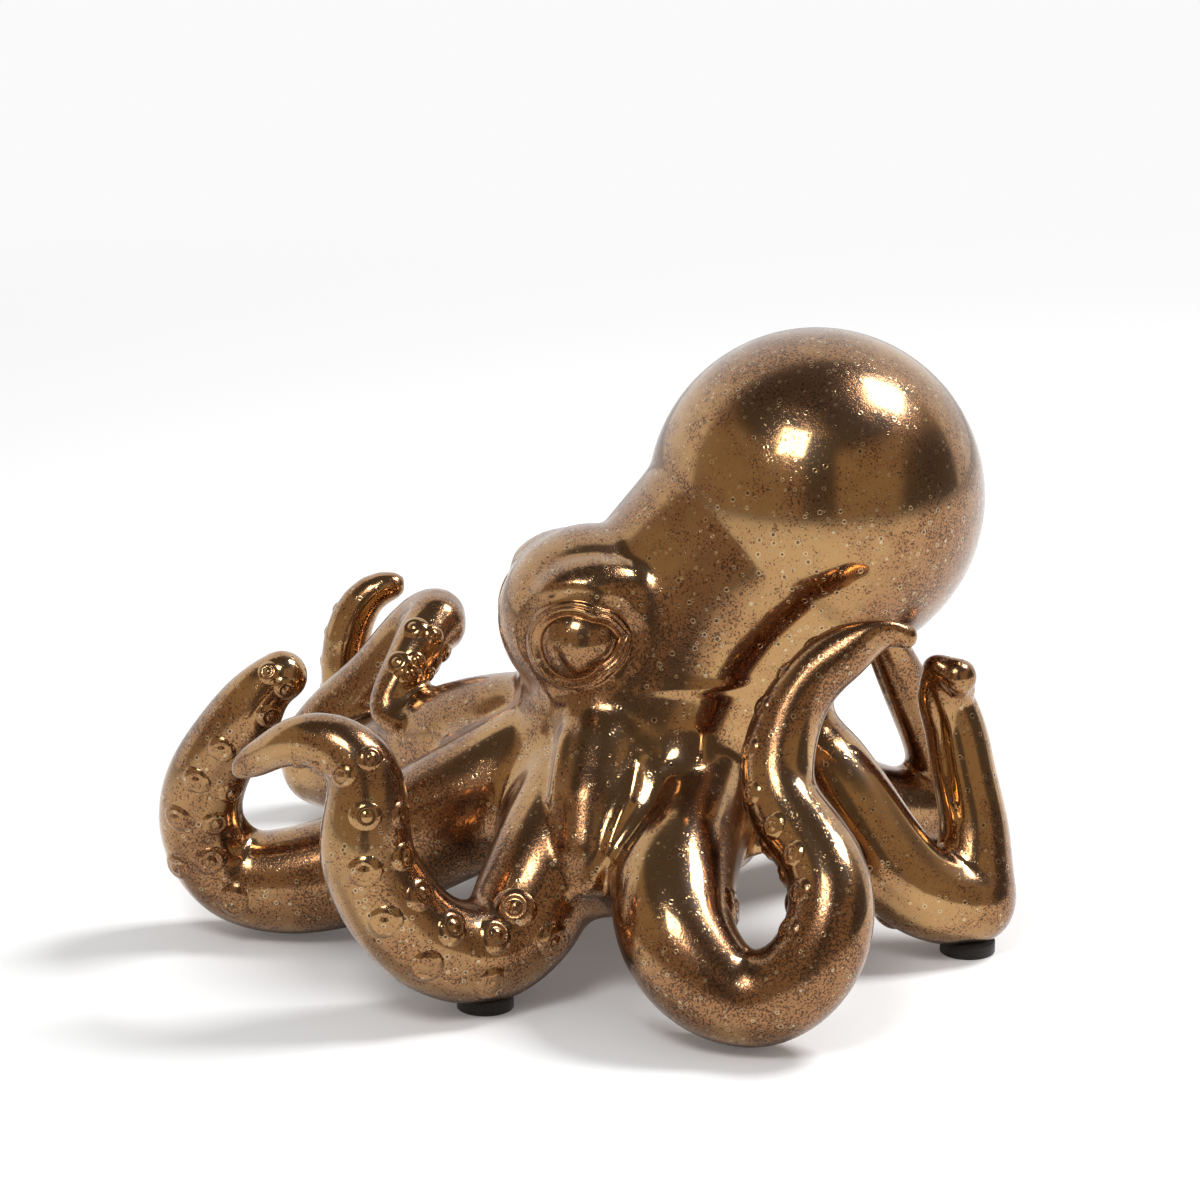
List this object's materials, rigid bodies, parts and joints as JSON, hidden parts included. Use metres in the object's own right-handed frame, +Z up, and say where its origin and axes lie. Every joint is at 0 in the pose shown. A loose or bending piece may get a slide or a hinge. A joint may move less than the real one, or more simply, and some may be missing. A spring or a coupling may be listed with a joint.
{
  "type": "octopus figurine",
  "caption": "Glazed ceramic octopus figurine in dark bronze gold, with a raised round mantle, curling arms with rows of suckers, and felt pads under its feet.",
  "frame": {"origin": "middle of the bounding box, on the floor plane under the felt pads", "axes": "the octopus faces -Y, its own left side is +X, +Z is up"},
  "size_m": [0.2054, 0.203, 0.1402],
  "materials": {
    "bronze_glaze": "glossy metallic bronze-gold lustre glaze with fine dark speckle",
    "felt": "dense dark pressed felt"
  },
  "bodies": {
    "root": {"mantle_and_head": "bronze_glaze", "arm_left_1": "bronze_glaze", "arm_left_2": "bronze_glaze", "arm_left_3": "bronze_glaze", "arm_left_4": "bronze_glaze", "arm_right_4": "bronze_glaze", "arm_right_3": "bronze_glaze", "arm_right_2": "bronze_glaze", "arm_right_1": "bronze_glaze", "suckers_left_1": "bronze_glaze", "suckers_left_2": "bronze_glaze", "suckers_left_3": "bronze_glaze", "suckers_left_4": "bronze_glaze", "suckers_right_4": "bronze_glaze", "suckers_right_3": "bronze_glaze", "suckers_right_2": "bronze_glaze", "suckers_right_1": "bronze_glaze", "eyeball_left": "bronze_glaze", "eyeball_right": "bronze_glaze", "eyelid_left": "bronze_glaze", "eyelid_right": "bronze_glaze", "felt_pad_left_2": "felt", "felt_pad_left_4": "felt", "felt_pad_right_4": "felt", "felt_pad_right_3": "felt", "felt_pad_right_2": "felt"}
  },
  "joints": []
}
